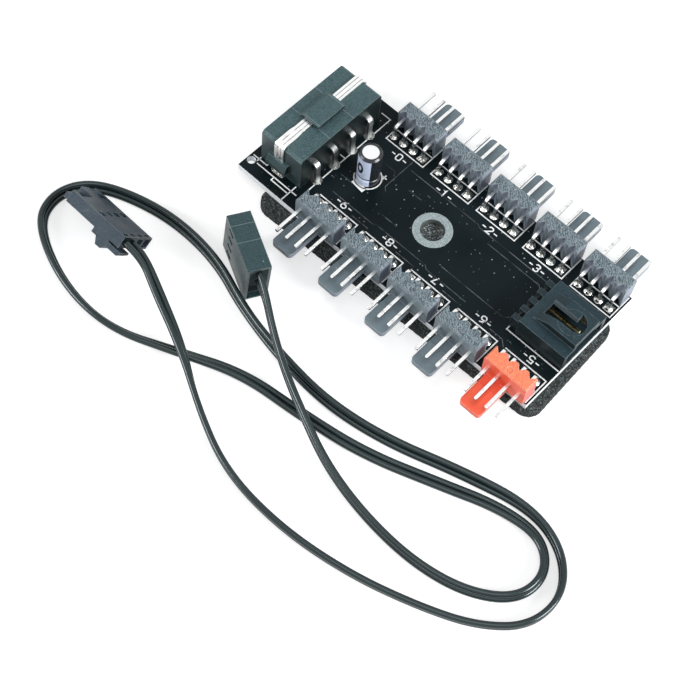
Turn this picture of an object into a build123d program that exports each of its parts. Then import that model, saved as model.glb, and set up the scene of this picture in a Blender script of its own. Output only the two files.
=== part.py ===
from build123d import *
import math
import os

# Fan hub: a bare circuit board on a foam pad, with five fan headers along each long side, a power header
# at one end, a control socket at the other and a loose control lead beside it. Millimetres, +Z up.
# +X runs from the power header to the control socket, and the origin is on the floor under the middle of
# the hub. Heights below are counted from the top of the board and lengths from the middle of the board.

# Circuit board
board_width = 32.0
board_thickness = 1.6
ring_hole = 5.0
ring_outer = 8.1
plating = 0.06
tooling_hole = 1.8
tooling_hole_inset = 1.1
tooling_hole_y = -13.45

# Foam pad, stuck on a little askew
foam_shorter = 5.1
foam_width = 26.8
foam_thickness = 2.2
foam_corner = 3.2
foam_turn = 2.15
foam_shift_x = 4.45
foam_pin_gap = 0.84

# Pins and solder
pin_pitch = 2.54
pin_size = 0.64
pin_bend = 1.0
pin_tip = 0.15
pin_stub = 0.7
ways = 4
hole_clear = 0.1
pad_rim = 0.4
solder_height = 0.45
solder_taper = 45.0

# Fan headers
headers_per_row = 5
header_pitch = 12.05
row_start = 21.07
row_end = 5.73
header_width = 10.1
header_height = 5.6
header_overhang = 0.5
header_chamfer = 0.3
pad_setback = 4.86
tooth_gap = 1.95
notch_width = 1.9
notch_depth = 1.0
pin_height = 3.0
pin_reach = 7.2
tongue_width = 5.0
tongue_reach = 8.5
tongue_thickness = 1.2
tongue_drop = 2.05
tongue_corner = 0.9
tongue_step = 0.3
tongue_step_at = 2.6
tongue_clear = 0.1
dimple_size = 1.3
dimple_depth = 0.12

# Power header
power_length = 23.0
power_depth = 10.5
power_height = 8.95
power_edge_gap = 2.0
power_chamfer = 0.6
power_pitch = 5.08
power_pin = 2.1
power_pin_inset = 0.9
power_pin_height = 5.2
power_wall = 1.3
power_back = 2.6
power_key = 1.6
leg_width = 1.2
leg_thickness = 0.6
leg_gap = 0.95
leg_bend = 0.8
strap_width = 2.4
strap_thickness = 0.4
strap_bend = 0.7
strap_at = 4.9
tab_length = 7.6
tab_reach = 4.1
tab_ramp = 1.3
tab_height = 1.2
tab_gap = 0.1
foot_width = 5.0
foot_reach = 1.4
foot_bottom = 2.2
foot_top = 4.6

# Capacitor
can_x = -17.27
can_y = -0.05
can_size = 4.8
can_height = 8.7
can_lift = 0.3
can_shoulder = 0.35
can_lip = 0.35
sleeve_wall = 0.1
groove_at = 1.7
groove_depth = 0.25
bung_size = 4.0
bung_height = 1.0
can_lead = 0.5
can_lead_pitch = 2.0

# Control socket
socket_length = 11.3
socket_width = 12.3
socket_y = 0.25
socket_height = 4.9
socket_back = 2.0
socket_side = 0.9
socket_floor = 0.7
socket_room = 3.6
socket_pin_inset = 2.0
bridge_width = 7.3
bridge_height = 6.6
bridge_start = 1.4
bridge_ramp = 3.4
latch_width = 5.8
latch_room = 0.9
window_start = 2.4
window_length = 5.4
window_width = 3.2
window_shift = -0.2
window_end = 2.8
tooth_width = 1.25
tooth_length = 2.0
tooth_height = 3.4
socket_pad_gap = 1.2

# Control lead
cord_width = 2.5
cord_thickness = 1.3
plug_width = 10.2
cavity_width = 2.0
cavity_depth = 6.0

# Latched plug of the lead, which lies on one edge
latch_plug_length = 16.1
latch_plug_thickness = 2.6
latch_plug_place = (-39.2, -44.3)
latch_plug_heading = -0.9
latch_plug_roll = -50.8
latch_cavity_height = 1.8
channel_length = 3.5
channel_depth = 1.4
channel_wall = 1.0
wide_channel = 3.8
channel_land = 2.7
narrow_channel = 2.3
nose_cut = 1.5
lance_length = 1.4
lance_width = 1.4
lance_depth = 0.8
lance_at = 6.6
slot_length = 0.8
slot_at = 0.4
arm_width = 3.0
arm_root = 6.6
arm_drop = 1.1
arm_thickness = 1.05
arm_gap = 0.4
arm_free = 2.4
arm_past = 1.1
arm_tip = 0.6
hook_at = 5.3
hook_depth = 2.5
hook_length = 1.3
hook_slope = 0.8

# Fan plug of the lead, which stands on one edge and leans a little
fan_plug_length = 13.0
fan_plug_thickness = 4.8
fan_plug_place = (-15.2, -31.2)
fan_plug_heading = -27.3
fan_plug_lean = -4.6
fan_cavity_height = 3.6
rib_width = 1.2
rib_height = 0.4
rib_setback = 1.6
rib_length = 8.0
rib_spread = 6.0
fan_lance_length = 2.3
fan_lance_width = 1.0
fan_lance_at = 8.5
contact_thickness = 0.4

# Where the cord lies between its plugs, round two long loops, with its height above lying flat on the floor
cord_exit = 4.0
cord_floor_gap = 0.05
cord_points = [
    (-7.5, -38.3, 4.2), (-0.5, -42.3, 2.6), (6.8, -45.7, 2.1), (17.0, -49.8, 0.4), (28.5, -52.4, 0),
    (41.0, -53.0, 0), (52.0, -50.9, 0), (59.7, -45.2, 0), (60.3, -37.6, 0), (55.0, -32.1, 0),
    (45.0, -32.6, 0), (34.3, -37.6, 0), (21.0, -43.1, 0), (7.5, -45.5, 0), (-6.4, -47.2, 0),
    (-18.1, -52.6, 0), (-30.9, -58.4, 0), (-44.1, -57.9, 0), (-56.9, -52.8, 0), (-60.4, -46.0, 0),
    (-57.7, -39.0, 0), (-49.9, -35.0, 0), (-39.1, -32.8, 0), (-27.0, -33.9, 0), (-15.9, -38.1, 0),
    (-3.6, -39.8, 0), (8.9, -40.7, 0), (22.2, -38.5, 0), (36.5, -33.4, 0), (49.7, -30.0, 0),
    (59.0, -32.2, 0), (64.6, -38.6, 0), (63.9, -47.1, 0), (57.2, -53.5, 0), (47.7, -57.9, 0),
    (34.9, -62.1, 0), (20.0, -64.4, 0), (5.4, -63.5, 0), (-6.9, -58.4, 0.8), (-17.7, -52.1, 2.0),
    (-28.5, -47.7, 4.0),
]

# Places worked out from the sizes
board_length = row_start + (headers_per_row - 1) * header_pitch + row_end
half_length = board_length / 2
half_width = board_width / 2
pad_row = half_width - pad_setback
foam_length = board_length - foam_shorter
foam_angle = math.radians(foam_turn)
foam_straight_x = foam_length / 2 - foam_corner
foam_straight_y = foam_width / 2 - foam_corner
foam_half_x = foam_corner + foam_straight_x * math.cos(foam_angle) + foam_straight_y * math.sin(foam_angle)
foam_half_y = foam_corner + foam_straight_x * math.sin(foam_angle) + foam_straight_y * math.cos(foam_angle)
foam_shift_y = pad_row - pin_size / 2 - foam_pin_gap - foam_half_y
foam_reach = foam_shift_x + foam_half_x
board_top = foam_thickness + board_thickness
hub = Pos((half_length - foam_reach) / 2, 0, board_top)
header_front = pad_setback + header_overhang
way_offsets = [(way - (ways - 1) / 2) * pin_pitch for way in range(ways)]
header_centres = [-half_length + row_start + index * header_pitch for index in range(headers_per_row)]
power_face = -half_length + power_edge_gap
power_rear = power_face + power_depth
leg_x = power_rear + leg_gap
leg_rows = [(way - (ways - 1) / 2) * power_pitch for way in range(ways)]
strap_x = power_face + strap_at
strap_y = power_length / 2 + strap_thickness / 2
socket_rear = half_length - socket_length
socket_pad_x = socket_rear - socket_pad_gap
socket_ways = [socket_y + offset for offset in way_offsets]
latch_ways_used = way_offsets[:2]
fan_ways_used = way_offsets[2:]


def block(x, y, z):
    # A box between two values along each axis
    size = Box(x[1] - x[0], y[1] - y[0], z[1] - z[0])
    return Pos((x[0] + x[1]) / 2, (y[0] + y[1]) / 2, (z[0] + z[1]) / 2) * size


def rod(x, y, radius, z):
    # An upright cylinder between two heights
    return Pos(x, y, (z[0] + z[1]) / 2) * Cylinder(radius, z[1] - z[0])


def outline(plane, points, amount):
    # A prism whose end is a polygon drawn on a plane
    return extrude(plane * make_face(Polyline(*points, close=True)), amount)


def write(name, shape):
    export_step(shape, f"parts/{name}.step")


def header_places():
    # The headers of the far side face +Y and their pins stand out below the board. Those of the near side
    # are turned half round to face -Y and their pins end flush, above the foam. Ports are numbered along
    # the far side from the power header and back along the near side.
    far = [(Pos(x, pad_row, 0), pin_stub) for x in header_centres]
    near = [(Pos(x, -pad_row, 0) * Rot(0, 0, 180), 0) for x in reversed(header_centres)]
    return far + near


def bent_pin(tip, height, low, width, thick, bend):
    # A bar that stands on its low end at the origin, bends over and runs along +Y to its tip
    path = FilletPolyline((0, 0, low), (0, 0, height), (0, tip, height), radius=bend)
    return sweep(Pos(0, 0, low) * Rectangle(width, thick), path)


def joint_kinds():
    # Outlines of the hole, of the pad round it and of the lead in it, with the places of that kind of joint
    pin_hole = math.sqrt(2) * pin_size / 2 + hole_clear
    leg_hole = math.hypot(leg_width, leg_thickness) / 2 + hole_clear
    slot = (strap_width + 2 * hole_clear, strap_thickness + 2 * hole_clear)
    lead_hole = can_lead / 2 + hole_clear
    pin = Rectangle(pin_size, pin_size)
    fan_pins = [(x + offset, side * pad_row) for x in header_centres for offset in way_offsets for side in (1, -1)]
    return {
        "fan pin": (Circle(pin_hole), Circle(pin_hole + pad_rim), pin, fan_pins),
        "socket pin": (Circle(pin_hole), Circle(pin_hole + pad_rim), pin, [(socket_pad_x, y) for y in socket_ways]),
        "leg": (Circle(leg_hole), Circle(leg_hole + pad_rim), Rectangle(leg_thickness, leg_width),
                [(leg_x, y) for y in leg_rows]),
        "strap": (SlotOverall(*slot), SlotOverall(slot[0] + 2 * pad_rim, slot[1] + 2 * pad_rim),
                  Rectangle(strap_width, strap_thickness), [(strap_x, side * strap_y) for side in (1, -1)]),
        "can": (Circle(lead_hole), Circle(lead_hole + pad_rim), Circle(can_lead / 2),
                [(can_x + side * can_lead_pitch / 2, can_y) for side in (1, -1)]),
    }


def circuit_board():
    board = block((-half_length, half_length), (-half_width, half_width), (-board_thickness, 0))
    through = (-board_thickness, 0)
    holes = [rod(0, 0, ring_hole / 2, through),
             rod(-half_length + tooling_hole_inset, tooling_hole_y, tooling_hole / 2, through)]
    for hole, _, _, places in joint_kinds().values():
        holes += [extrude(Pos(x, y, 0) * hole, -board_thickness) for x, y in places]
    return board - holes


def plated_ring():
    # The tinned land round the mounting hole, on the top of the board
    rim = rod(0, 0, ring_outer / 2, (0, plating))
    return rim - rod(0, 0, ring_hole / 2, (0, plating))


def foam_pad():
    shape = extrude(RectangleRounded(foam_length, foam_width, foam_corner), -foam_thickness)
    return Pos(foam_shift_x, foam_shift_y, -board_thickness) * Rot(0, 0, foam_turn) * shape


def solder_joints(covers):
    # Each joint fills its hole round the lead and has a flat pad on the board, as far as nothing covers it.
    # Those of the fan headers, which stay in the open, rise to a cone of solder round the pin.
    joints = []
    for kind, (hole, pad, lead, places) in joint_kinds().items():
        joint = extrude(hole, -board_thickness) + extrude(pad, plating)
        if kind == "fan pin":
            joint += extrude(pad, solder_height, taper=solder_taper)
        joint -= extrude(Pos(0, 0, -board_thickness) * lead, board_thickness + solder_height)
        for x, y in places:
            placed = Pos(x, y, 0) * joint
            joints.append(placed if kind == "fan pin" else placed - covers)
    return Compound(joints)


def fan_header_body():
    # Moulded block at the edge of the board, notched round each pin, with a locking tongue below the pins
    half = header_width / 2
    body = block((-half, half), (tooth_gap, header_front), (0, header_height))
    top_edges = body.faces().sort_by(Axis.Z)[-1].edges()
    body = chamfer(top_edges.filter_by(Axis.Y) + top_edges.sort_by(Axis.Y)[-1:], header_chamfer)
    for x in way_offsets:
        points = [(x - notch_width / 2, tooth_gap), (x + notch_width / 2, tooth_gap), (x, tooth_gap + notch_depth)]
        body -= outline(Plane.XY, points, header_height)
        body -= block((x - pin_size / 2, x + pin_size / 2), (tooth_gap, header_front),
                      (pin_height - pin_size / 2, pin_height + pin_size / 2))
    body -= rod(0, (tooth_gap + notch_depth + header_front) / 2, dimple_size / 2,
                (header_height - dimple_depth, header_height))
    return body + fan_header_tongue()


def fan_header_tongue():
    # It lies under three pins, leaves the fourth free, and is thinner next to the block
    top = pin_height - tongue_drop
    middle = pin_pitch / 2
    sides = (middle - tongue_width / 2, middle + tongue_width / 2)
    tip = pad_setback + tongue_reach
    tongue = block(sides, (header_front, tip), (top - tongue_thickness, top))
    tongue = fillet(tongue.edges().filter_by(Axis.Z).sort_by(Axis.Y)[-2:], tongue_corner)
    tongue -= block(sides, (header_front, header_front + tongue_step_at), (top - tongue_step, top))
    root = block(sides, (pad_setback + tongue_clear, header_front), (top - tongue_thickness, top - tongue_step))
    return tongue + root


def fan_header_pins(stub):
    # Square pins, bent down behind the block into the board, with bevelled tips
    pin = bent_pin(pad_setback + pin_reach, pin_height, -board_thickness - stub, pin_size, pin_size, pin_bend)
    pin = chamfer(pin.faces().sort_by(Axis.Y)[-1].edges(), pin_tip)
    return Compound([Pos(x, 0, 0) * pin for x in way_offsets])


def power_pins():
    # Round pins in the shroud, each drawn out behind the housing to a flat leg bent into the board
    tip = power_face + power_pin_inset
    wall = power_rear - power_back / 2
    shank = Pos((tip + wall) / 2, 0, power_pin_height) * Rot(0, 90, 0) * Cylinder(power_pin / 2, wall - tip)
    shank = chamfer(shank.faces().sort_by(Axis.X)[0].edges(), power_pin / 4)
    tail = bent_pin(leg_x - wall, power_pin_height, -board_thickness, leg_width, leg_thickness, leg_bend)
    pin = shank + Pos(leg_x, 0, 0) * Rot(0, 0, 90) * tail
    return Compound([Pos(0, y, 0) * pin for y in leg_rows])


def power_strap():
    # Tinned hold-down strap over the housing, with both ends soldered into slots in the board
    top = power_height + strap_thickness / 2
    path = FilletPolyline((strap_x, -strap_y, -board_thickness), (strap_x, -strap_y, top),
                          (strap_x, strap_y, top), (strap_x, strap_y, -board_thickness), radius=strap_bend)
    return sweep(Pos(strap_x, -strap_y, -board_thickness) * Rectangle(strap_width, strap_thickness), path)


def power_housing():
    half = power_length / 2
    body = block((power_face, power_rear), (-half, half), (0, power_height))
    body = chamfer(body.edges().filter_by(Axis.X).group_by(Axis.Z)[-1], power_chamfer)
    # The shroud is open towards -X and two of its corners are cut off as a key
    high = power_height - power_wall
    wide = half - power_wall
    mouth = [(-wide, power_wall), (wide, power_wall), (wide, high - power_key), (wide - power_key, high),
             (power_key - wide, high), (-wide, high - power_key)]
    body -= outline(Plane.YZ.offset(power_face), mouth, power_depth - power_back)
    # Guides at both ends hold the legs of the strap
    for side in (1, -1):
        reach = [(half, foot_bottom), (half, foot_top), (half + foot_reach / 2, foot_top),
                 (half + foot_reach, foot_top - foot_reach), (half + foot_reach, foot_bottom)]
        guide = outline(Plane.YZ.offset(strap_x - foot_width / 2), [(side * y, z) for y, z in reach], foot_width)
        body += guide - block((strap_x - strap_width / 2, strap_x + strap_width / 2),
                              sorted((side * half, side * (half + strap_thickness))), (foot_bottom, foot_top))
    # A tongue reaches over the strap from the side of the mouth
    under = power_height + strap_thickness + tab_gap
    start = strap_x - strap_width / 2 - tab_gap
    end = start + tab_reach
    tab = [(start - tab_ramp, power_height), (start, power_height + tab_height), (end, power_height + tab_height),
           (end, under), (start, under), (start, power_height)]
    body += outline(Plane.XZ.offset(-tab_length / 2), tab, tab_length)
    return body - power_pins().solids()


def grooved_can(radius, high):
    # A round can with a rolled groove near its foot
    middle = can_lift + groove_at
    points = [(0, can_lift), (radius, can_lift), (radius, middle - groove_depth), (radius - groove_depth, middle),
              (radius, middle + groove_depth), (radius, high - can_shoulder), (radius - can_shoulder, high), (0, high)]
    return revolve(Plane.XZ * make_face(Polyline(*points, close=True)), Axis.Z)


def capacitor():
    # Can, printed sleeve shrunk over it with a turned-in lip, rubber bung in the mouth, and two leads
    radius = can_size / 2
    top = can_lift + can_height
    can = grooved_can(radius - sleeve_wall, top - sleeve_wall)
    sleeve = grooved_can(radius, top) - can - rod(0, 0, radius - can_shoulder - can_lip, (top - sleeve_wall, top))
    bung = rod(0, 0, bung_size / 2, (0, can_lift + bung_height))
    leads = [rod(side * can_lead_pitch / 2, 0, can_lead / 2, (-board_thickness, can_lift + bung_height))
             for side in (1, -1)]
    pieces = {"can": can - bung, "sleeve": sleeve, "bung": bung - leads, "leads": Compound(leads)}
    return {name: Pos(can_x, can_y, 0) * piece for name, piece in pieces.items()}


def socket_pins():
    # Square pins in the control socket, bent down between the teeth at its back
    tip = half_length - socket_pin_inset - socket_pad_x
    middle = socket_floor + socket_room / 2
    pin = bent_pin(-tip, middle, -board_thickness, pin_size, pin_size, pin_bend)
    pin = chamfer(pin.faces().sort_by(Axis.Y)[0].edges(), pin_tip)
    return Compound([Pos(socket_pad_x, y, 0) * Rot(0, 0, 90) * pin for y in socket_ways])


def control_socket():
    # Shroud open towards +X, with a raised bridge and a window for the latch of the lead
    half = socket_width / 2
    sides = (socket_y - half, socket_y + half)
    body = block((socket_rear, half_length), sides, (0, socket_height))
    rise = [(bridge_start, socket_height), (bridge_start + bridge_ramp, bridge_height),
            (socket_length, bridge_height), (socket_length, socket_height)]
    rise = [(socket_rear + x, z) for x, z in rise]
    body += outline(Plane.XZ.offset(-socket_y - bridge_width / 2), rise, bridge_width)
    teeth = [socket_y + (index - ways / 2) * pin_pitch for index in range(ways + 1)]
    for y in teeth:
        body += block((socket_rear - tooth_length, socket_rear), (y - tooth_width / 2, y + tooth_width / 2),
                      (0, tooth_height))
    room = (socket_floor, socket_floor + socket_room)
    mouth = (socket_rear + socket_back, half_length)
    body -= block(mouth, (sides[0] + socket_side, sides[1] - socket_side), room)
    body -= block((socket_rear + window_start, half_length),
                  (socket_y - latch_width / 2, socket_y + latch_width / 2), (room[1], room[1] + latch_room))
    middle = socket_y + window_shift
    end = socket_rear + window_start + window_length
    body -= block((socket_rear + window_start, end), (middle - window_width / 2, middle + window_width / 2),
                  (room[1], bridge_height))
    body -= rod(end, middle, window_end, (room[1], bridge_height))
    return body - socket_pins().solids()


def plug_places():
    # The latched plug leans on one edge and the fan plug stands on one edge, both on the floor
    low_edge = plug_width / 2 * math.sin(math.radians(-latch_plug_roll))
    latched = Pos(*latch_plug_place, low_edge) * Rot(0, 0, latch_plug_heading) * Rot(latch_plug_roll, 0, 0)
    stand = plug_width / 2 * math.cos(math.radians(fan_plug_lean))
    standing = Pos(*fan_plug_place, stand) * Rot(0, 0, fan_plug_heading) * Rot(90 + fan_plug_lean, 0, 0)
    return latched, standing


def cord_end(place, used, thickness):
    # Where the cord meets the end of a plug, between the two ways in use, and a point straight out from there
    middle = sum(used) / len(used)
    return [(place * Pos(x, middle, thickness / 2)).position for x in (0, cord_exit)]


def cord_path():
    # Straight runs joined by arcs as large as the runs allow
    latched, standing = plug_places()
    route = [Vector(x, y, cord_thickness / 2 + cord_floor_gap + lift) for x, y, lift in cord_points]
    points = (cord_end(standing, fan_ways_used, fan_plug_thickness) + route
              + cord_end(latched, latch_ways_used, latch_plug_thickness)[::-1])
    radii = []
    for before, point, after in zip(points, points[1:], points[2:]):
        turn = math.radians((point - before).get_angle(after - point))
        shorter = min((point - before).length, (after - point).length)
        radii.append(0.45 * shorter / math.tan(turn / 2))
    print("cord bend radii", [round(radius, 1) for radius in radii])
    return FilletPolyline(*points, radius=radii)


def control_lead():
    # Flat two-core cord, lying on its wide side
    path = cord_path()
    start = Plane(path @ 0, x_dir=Vector(0, 0, 1).cross(path % 0), z_dir=path % 0)
    cord = sweep(start * SlotOverall(cord_width, cord_thickness), path)
    section = math.pi * cord_thickness ** 2 / 4 + cord_thickness * (cord_width - cord_thickness)
    print("cord length", round(path.length, 1), "volume over section times length",
          round(cord.volume / (section * path.length), 4))
    return cord


def plug_cavities(thickness, height, used):
    # The empty ways stay open at the end where the cord goes in
    middle = thickness / 2
    empty = [y for y in way_offsets if y not in used]
    return [block((-cavity_depth, 0), (y - cavity_width / 2, y + cavity_width / 2),
                  (middle - height / 2, middle + height / 2)) for y in empty]


def plug_lances(at, length, width, thickness):
    # A row of windows in the top face, one above each way
    return [block((-at - length, -at), (y - width / 2, y + width / 2),
                  (thickness - lance_depth, thickness)) for y in way_offsets]


def plug_contacts(at, length, width, thickness, used):
    # Tinned contacts seen at the bottom of the windows of the two ways in use
    low = thickness - lance_depth
    return Compound([block((-at - length, -at), (y - width / 2, y + width / 2),
                           (low, low + contact_thickness)) for y in used])


def latch_arm(edge):
    # A short arm below one edge: it grows from the body, carries a hook and ends free behind the plug
    low = -arm_gap - arm_thickness
    hook = -hook_at
    points = [(-arm_root, 0), (-arm_root, -arm_drop), (hook, -arm_drop), (hook + hook_slope, -hook_depth),
              (hook + hook_slope + hook_length, -hook_depth), (hook + 2 * hook_slope + hook_length, low),
              (arm_past - arm_tip, low), (arm_past, low + arm_tip), (arm_past, -arm_gap), (-arm_free, -arm_gap),
              (-arm_free, 0)]
    return outline(Plane.XZ.offset(-edge - arm_width), points, arm_width)


def latched_plug():
    # Plug for the control socket: two channels at its nose, windows, end slots and a latch arm below
    half = plug_width / 2
    nose = (-latch_plug_length, channel_length - latch_plug_length)
    depth = (latch_plug_thickness - channel_depth, latch_plug_thickness)
    wide = (channel_wall - half, channel_wall - half + wide_channel)
    narrow = (wide[1] + channel_land, wide[1] + channel_land + narrow_channel)
    body = block((-latch_plug_length, 0), (-half, half), (0, latch_plug_thickness))
    body -= [block(nose, wide, depth), block(nose, narrow, depth)]
    body -= block((-latch_plug_length, nose_cut - latch_plug_length), (-half, wide[0]), (0, latch_plug_thickness))
    body -= plug_lances(lance_at, lance_length, lance_width, latch_plug_thickness)
    body -= plug_lances(slot_at, slot_length, lance_width, latch_plug_thickness)
    body -= plug_cavities(latch_plug_thickness, latch_cavity_height, latch_ways_used)
    return body + latch_arm(-half)


def fan_plug():
    # Plug for a fan header: two guide ribs on one side and a row of windows on the other
    half = plug_width / 2
    start = rib_setback - fan_plug_length
    body = block((-fan_plug_length, 0), (-half, half), (0, fan_plug_thickness))
    for side in (1, -1):
        middle = side * rib_spread / 2
        body += block((start, start + rib_length), (middle - rib_width / 2, middle + rib_width / 2), (-rib_height, 0))
    body -= plug_lances(fan_lance_at, fan_lance_length, fan_lance_width, fan_plug_thickness)
    return body - plug_cavities(fan_plug_thickness, fan_cavity_height, fan_ways_used)


def write_hub():
    housing = power_housing()
    socket = control_socket()
    can_pieces = capacitor()
    write("circuit_board", hub * circuit_board())
    write("plated_ring", hub * plated_ring())
    write("foam_pad", hub * foam_pad())
    write("solder_joints", hub * solder_joints([housing, socket, can_pieces["bung"]]))
    write("power_header_housing", hub * housing)
    write("power_header_pins", hub * power_pins())
    write("power_header_strap", hub * power_strap())
    for name, shape in can_pieces.items():
        write(f"capacitor_{name}", hub * shape)
    write("control_socket_body", hub * socket)
    write("control_socket_pins", hub * socket_pins())
    body = fan_header_body()
    for port, (place, stub) in enumerate(header_places()):
        write(f"fan_header_{port}_body", hub * place * body)
        write(f"fan_header_{port}_pins", hub * place * fan_header_pins(stub))


def write_lead():
    latched, standing = plug_places()
    write("control_lead", control_lead())
    write("latched_plug_body", latched * latched_plug())
    write("latched_plug_contacts",
          latched * plug_contacts(lance_at, lance_length, lance_width, latch_plug_thickness, latch_ways_used))
    write("fan_plug_body", standing * fan_plug())
    write("fan_plug_contacts",
          standing * plug_contacts(fan_lance_at, fan_lance_length, fan_lance_width, fan_plug_thickness, fan_ways_used))


os.makedirs("parts", exist_ok=True)
write_hub()
write_lead()
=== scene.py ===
import math
import bpy
import numpy as np
from mathutils import Matrix, Vector


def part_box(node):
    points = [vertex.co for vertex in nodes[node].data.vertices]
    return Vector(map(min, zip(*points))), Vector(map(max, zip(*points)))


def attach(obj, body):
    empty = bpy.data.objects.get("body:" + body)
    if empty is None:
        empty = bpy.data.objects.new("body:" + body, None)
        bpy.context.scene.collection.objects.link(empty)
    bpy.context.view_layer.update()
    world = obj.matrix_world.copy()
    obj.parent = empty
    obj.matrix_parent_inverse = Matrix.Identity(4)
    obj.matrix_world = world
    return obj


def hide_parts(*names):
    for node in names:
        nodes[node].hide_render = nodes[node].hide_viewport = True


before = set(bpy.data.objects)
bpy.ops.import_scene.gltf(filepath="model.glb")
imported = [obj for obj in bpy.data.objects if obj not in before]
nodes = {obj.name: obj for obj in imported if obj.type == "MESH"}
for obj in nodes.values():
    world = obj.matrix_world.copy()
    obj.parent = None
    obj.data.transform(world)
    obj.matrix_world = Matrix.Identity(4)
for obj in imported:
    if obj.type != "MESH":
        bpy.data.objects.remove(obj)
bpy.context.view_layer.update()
print("frame loaded with", len(nodes), "nodes")

mm = 0.001
boardLow, boardHigh = (np.array(corner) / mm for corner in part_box("circuit_board"))
boardMiddle = (boardLow + boardHigh) / 2  # board lines below are counted from here, in millimetres
boardTop = boardHigh[2]


# mesh helpers

def meshPiece(name, points, faces, material, slot, smooth=True):
    # points in millimetres, put into a mesh whose object stays at the origin
    mesh = bpy.data.meshes.new(name)
    mesh.from_pydata((np.asarray(points) * mm).tolist(), [], faces)
    mesh.polygons.foreach_set("use_smooth", np.full(len(mesh.polygons), smooth))
    mesh.materials.append(material)
    mesh.update()
    piece = bpy.data.objects.new(name, mesh)
    bpy.context.scene.collection.objects.link(piece)
    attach(piece, "root")
    return piece


def tubeFaces(rows, columns):
    # quads of a grid whose columns close on themselves, numbered row by row, and a face over each end
    row, column = np.arange(rows - 1)[:, None], np.arange(columns)[None, :]
    nextColumn = (column + 1) % columns
    quads = np.stack([row * columns + column, row * columns + nextColumn,
                      (row + 1) * columns + nextColumn, (row + 1) * columns + column], axis=-1)
    ends = [list(reversed(range(columns))), list(range((rows - 1) * columns, rows * columns))]
    return quads.reshape(-1, 4).tolist() + ends


def carryProfile(path, profile, side=None, widths=None):
    # each path point carries the profile: profile x runs along side, profile y along tangent cross side, and what
    # lies in the plane of a corner is stretched by one over the cosine of half its turn
    path, profile = np.asarray(path, float), np.asarray(profile, float)
    runs = np.diff(path, axis=0)
    runs /= np.linalg.norm(runs, axis=1, keepdims=True)
    before, after = np.vstack([runs[:1], runs]), np.vstack([runs, runs[-1:]])
    tangent = before + after
    tangent /= np.linalg.norm(tangent, axis=1, keepdims=True)
    stretch = 1 / np.sum(tangent * after, axis=1)[:, None, None]
    if side is None:
        side = np.cross([0.0, 0.0, 1.0], tangent)
        side /= np.linalg.norm(side, axis=1, keepdims=True)
        sideStretch, riseStretch = stretch, 1
    else:
        side = np.broadcast_to(np.asarray(side, float), tangent.shape)
        sideStretch, riseStretch = 1, stretch
    rise = np.cross(tangent, side)
    across = profile[None, :, 0, None] * (1 if widths is None else np.asarray(widths)[:, None, None])
    points = (path[:, None, :] + side[:, None, :] * across * sideStretch
              + rise[:, None, :] * profile[None, :, 1, None] * riseStretch)
    return points.reshape(-1, 3), tubeFaces(len(path), len(profile))


def joinShapes(shapes):
    # several (points, faces) pairs as one, with the faces renumbered
    points, faces, start = [], [], 0
    for shapePoints, shapeFaces in shapes:
        points.append(shapePoints)
        faces += [[start + i for i in face] for face in shapeFaces]
        start += len(shapePoints)
    return np.vstack(points), faces


# shader helpers

def addNode(tree, kind, **values):
    node = tree.nodes.new("ShaderNode" + kind)
    for key, value in values.items():
        setattr(node, key, value)
    return node


def setInputs(node, values):
    for key, value in values.items():
        node.inputs[key].default_value = value


def join(tree, source, target):
    tree.links.new(source, target)


def feed(tree, value, socket):
    # a link from another socket, or a plain value
    if isinstance(value, bpy.types.NodeSocket):
        join(tree, value, socket)
    else:
        socket.default_value = value


def mathNode(tree, operation, *values, clamp=False):
    node = addNode(tree, "Math", operation=operation, use_clamp=clamp)
    for socket, value in zip(node.inputs, values):
        feed(tree, value, socket)
    return node.outputs[0]


def times(tree, first, second):
    return mathNode(tree, "MULTIPLY", first, second)


def rampNode(tree, value, low, high, lowTo=0.0, highTo=1.0):
    node = addNode(tree, "MapRange", interpolation_type="SMOOTHSTEP")
    join(tree, value, node.inputs["Value"])
    setInputs(node, {"From Min": low, "From Max": high, "To Min": lowTo, "To Max": highTo})
    return node.outputs["Result"]


def mixColours(tree, factor, first, second):
    node = addNode(tree, "Mix", data_type="RGBA")
    join(tree, factor, node.inputs["Factor"])
    colourSockets = [socket for socket in node.inputs if socket.type == "RGBA"]
    for socket, value in zip(colourSockets, (first, second)):
        feed(tree, (*value, 1) if isinstance(value, tuple) else value, socket)
    return next(socket for socket in node.outputs if socket.type == "RGBA")


def objectPoint(tree):
    return addNode(tree, "TexCoord").outputs["Object"]


def partOf(tree, vector, axis):
    parts = addNode(tree, "SeparateXYZ")
    join(tree, vector, parts.inputs[0])
    return parts.outputs[axis]


def normalPart(tree, axis):
    return partOf(tree, addNode(tree, "NewGeometry").outputs["Normal"], axis)


def wayAlong(tree, direction):
    # how far a point lies along a direction, in millimetres
    along = addNode(tree, "VectorMath", operation="DOT_PRODUCT")
    join(tree, objectPoint(tree), along.inputs[0])
    along.inputs[1].default_value = tuple(np.array(direction) / mm)
    return along.outputs["Value"]


def noiseNode(tree, scale, detail=3.0, roughness=0.5, stretch=None):
    # scale counts features per millimetre
    node = addNode(tree, "TexNoise")
    point = objectPoint(tree)
    if stretch:
        mapping = addNode(tree, "Mapping")
        mapping.inputs["Scale"].default_value = stretch
        join(tree, point, mapping.inputs["Vector"])
        point = mapping.outputs["Vector"]
    join(tree, point, node.inputs["Vector"])
    setInputs(node, {"Scale": scale / mm, "Detail": detail, "Roughness": roughness})
    return node.outputs[0]


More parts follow.
